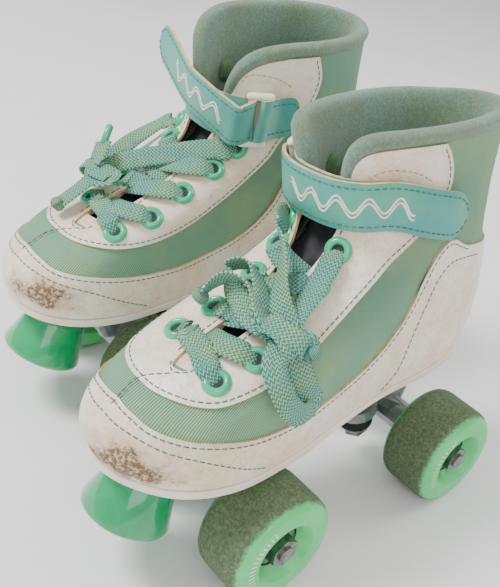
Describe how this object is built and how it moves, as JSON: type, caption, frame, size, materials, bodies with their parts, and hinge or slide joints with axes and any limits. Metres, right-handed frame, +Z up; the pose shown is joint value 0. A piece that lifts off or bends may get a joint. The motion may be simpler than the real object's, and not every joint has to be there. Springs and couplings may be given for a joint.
{
  "type": "pair of quad roller skates",
  "caption": "Pair of laced ankle-high roller skates with steering trucks, wide wheels, toe stops and ankle straps, one strap open.",
  "frame": {"origin": "middle of the pair's footprint, on the ground under the wheels", "axes": "+Z up; -Y is where the toes point; +X towards the left skate, which is on the wearer's left"},
  "size_m": [0.2452, 0.2342, 0.2047],
  "materials": {
    "cream_vinyl": "satin",
    "sole_white": "matte",
    "fleece": "matte",
    "grey_fabric": "matte",
    "teal_vinyl": "satin",
    "mint_lace": "matte",
    "mint_polyurethane": "satin",
    "mint_rubber": "gloss",
    "white_plastic": "gloss",
    "cast_aluminium": "satin",
    "steel": "satin",
    "bearing_steel": "satin",
    "black_rubber": "matte"
  },
  "bodies": {
    "left_boot": {"left_outsole": "sole_white", "left_upper": "cream_vinyl", "left_lining": "fleece", "left_tongue": "grey_fabric", "left_strap_base": "teal_vinyl", "left_loop_tab": "teal_vinyl", "left_lace": "mint_lace", "left_lace_ends": "mint_lace", "left_plate": "white_plastic", "left_toe_stop": "mint_rubber", "left_front_kingpin": "steel", "left_rear_kingpin": "steel", "left_front_upper_cushion": "black_rubber", "left_front_lower_cushion": "black_rubber", "left_rear_upper_cushion": "black_rubber", "left_rear_lower_cushion": "black_rubber"},
    "left_front_truck_set": {"left_front_truck": "cast_aluminium", "left_front_axle": "steel"},
    "left_front_outer_wheel_set": {"left_front_outer_wheel": "mint_polyurethane", "left_front_outer_bearings": "bearing_steel"},
    "left_front_inner_wheel_set": {"left_front_inner_wheel": "mint_polyurethane", "left_front_inner_bearings": "bearing_steel"},
    "left_rear_truck_set": {"left_rear_truck": "cast_aluminium", "left_rear_axle": "steel"},
    "left_rear_outer_wheel_set": {"left_rear_outer_wheel": "mint_polyurethane", "left_rear_outer_bearings": "bearing_steel"},
    "left_rear_inner_wheel_set": {"left_rear_inner_wheel": "mint_polyurethane", "left_rear_inner_bearings": "bearing_steel"},
    "left_loop_set": {"left_strap_loop": "white_plastic"},
    "left_flap_set": {"left_strap_flap": "teal_vinyl"},
    "right_boot": {"right_outsole": "sole_white", "right_upper": "cream_vinyl", "right_lining": "fleece", "right_tongue": "grey_fabric", "right_strap_base": "teal_vinyl", "right_loop_tab": "teal_vinyl", "right_lace": "mint_lace", "right_lace_ends": "mint_lace", "right_plate": "white_plastic", "right_toe_stop": "mint_rubber", "right_front_kingpin": "steel", "right_rear_kingpin": "steel", "right_front_upper_cushion": "black_rubber", "right_front_lower_cushion": "black_rubber", "right_rear_upper_cushion": "black_rubber", "right_rear_lower_cushion": "black_rubber"},
    "right_front_truck_set": {"right_front_truck": "cast_aluminium", "right_front_axle": "steel"},
    "right_front_outer_wheel_set": {"right_front_outer_wheel": "mint_polyurethane", "right_front_outer_bearings": "bearing_steel"},
    "right_front_inner_wheel_set": {"right_front_inner_wheel": "mint_polyurethane", "right_front_inner_bearings": "bearing_steel"},
    "right_rear_truck_set": {"right_rear_truck": "cast_aluminium", "right_rear_axle": "steel"},
    "right_rear_outer_wheel_set": {"right_rear_outer_wheel": "mint_polyurethane", "right_rear_outer_bearings": "bearing_steel"},
    "right_rear_inner_wheel_set": {"right_rear_inner_wheel": "mint_polyurethane", "right_rear_inner_bearings": "bearing_steel"},
    "right_loop_set": {"right_strap_loop": "white_plastic"},
    "right_flap_set": {"right_strap_flap": "teal_vinyl"}
  },
  "joints": [
    {"name": "left_front_lean", "type": "hinge", "parent": "left_boot", "child": "left_front_truck_set", "pos_m": [0.06069, -0.06808, 0.047], "axis": [0.0334, -0.9552, 0.2941], "range_deg": [-4, 4], "stiffness_Nm_per_rad": 60, "deforming": ["left_front_upper_cushion", "left_front_lower_cushion"]},
    {"name": "left_front_outer_wheel_spin", "type": "hinge", "parent": "left_front_truck_set", "child": "left_front_outer_wheel_set", "pos_m": [0.10045, -0.05168, 0.027], "axis": [0.9994, 0.0349, 0], "continuous": true},
    {"name": "left_front_inner_wheel_spin", "type": "hinge", "parent": "left_front_truck_set", "child": "left_front_inner_wheel_set", "pos_m": [0.01989, -0.05449, 0.027], "axis": [0.9994, 0.0349, 0], "continuous": true},
    {"name": "left_rear_lean", "type": "hinge", "parent": "left_boot", "child": "left_rear_truck_set", "pos_m": [0.0555, 0.08053, 0.047], "axis": [-0.0334, 0.9552, 0.2941], "range_deg": [-4, 4], "stiffness_Nm_per_rad": 60, "deforming": ["left_rear_upper_cushion", "left_rear_lower_cushion"]},
    {"name": "left_rear_outer_wheel_spin", "type": "hinge", "parent": "left_rear_truck_set", "child": "left_rear_outer_wheel_set", "pos_m": [0.0963, 0.06695, 0.027], "axis": [0.9994, 0.0349, 0], "continuous": true},
    {"name": "left_rear_inner_wheel_spin", "type": "hinge", "parent": "left_rear_truck_set", "child": "left_rear_inner_wheel_set", "pos_m": [0.01575, 0.06414, 0.027], "axis": [0.9994, 0.0349, 0], "continuous": true},
    {"name": "right_front_lean", "type": "hinge", "parent": "right_boot", "child": "right_front_truck_set", "pos_m": [-0.06088, -0.0491, 0.047], "axis": [-0.005, -0.9558, 0.2941], "range_deg": [-4, 4], "stiffness_Nm_per_rad": 60, "deforming": ["right_front_upper_cushion", "right_front_lower_cushion"]},
    {"name": "right_front_outer_wheel_spin", "type": "hinge", "parent": "right_front_truck_set", "child": "right_front_outer_wheel_set", "pos_m": [-0.1011, -0.03389, 0.027], "axis": [1, -0.0052, 0], "continuous": true},
    {"name": "right_front_inner_wheel_spin", "type": "hinge", "parent": "right_front_truck_set", "child": "right_front_inner_wheel_set", "pos_m": [-0.0205, -0.03431, 0.027], "axis": [1, -0.0052, 0], "continuous": true},
    {"name": "right_rear_lean", "type": "hinge", "parent": "right_boot", "child": "right_rear_truck_set", "pos_m": [-0.0601, 0.0996, 0.047], "axis": [0.005, 0.9558, 0.2941], "range_deg": [-4, 4], "stiffness_Nm_per_rad": 60, "deforming": ["right_rear_upper_cushion", "right_rear_lower_cushion"]},
    {"name": "right_rear_outer_wheel_spin", "type": "hinge", "parent": "right_rear_truck_set", "child": "right_rear_outer_wheel_set", "pos_m": [-0.10048, 0.08481, 0.027], "axis": [1, -0.0052, 0], "continuous": true},
    {"name": "right_rear_inner_wheel_spin", "type": "hinge", "parent": "right_rear_truck_set", "child": "right_rear_inner_wheel_set", "pos_m": [-0.01988, 0.08438, 0.027], "axis": [1, -0.0052, 0], "continuous": true},
    {"name": "left_loop_swing", "type": "hinge", "parent": "left_boot", "child": "left_loop_set", "pos_m": [0.02223, -0.00061, 0.16313], "axis": [0.1239, 0.0852, -0.9886], "range_deg": [0, 20]},
    {"name": "left_flap_swing", "type": "hinge", "parent": "left_loop_set", "child": "left_flap_set", "pos_m": [0.02694, -0.01154, 0.16278], "axis": [0.1239, 0.0852, -0.9886], "range_deg": [0, 80]},
    {"name": "right_loop_swing", "type": "hinge", "parent": "right_boot", "child": "right_loop_set", "pos_m": [-0.02989, 0.01875, 0.15997], "axis": [-0.0222, 0.0891, 0.9958], "range_deg": [0, 10]},
    {"name": "right_flap_swing", "type": "hinge", "parent": "right_loop_set", "child": "right_flap_set", "pos_m": [-0.03496, 0.00802, 0.16082], "axis": [-0.0222, 0.0891, 0.9958], "range_deg": [0, 5]},
    {"name": "right_skate_lift", "type": "slide", "parent": "left_boot", "child": "right_boot", "axis": [0, 0, 1], "range_m": [0, 0.3]}
  ]
}
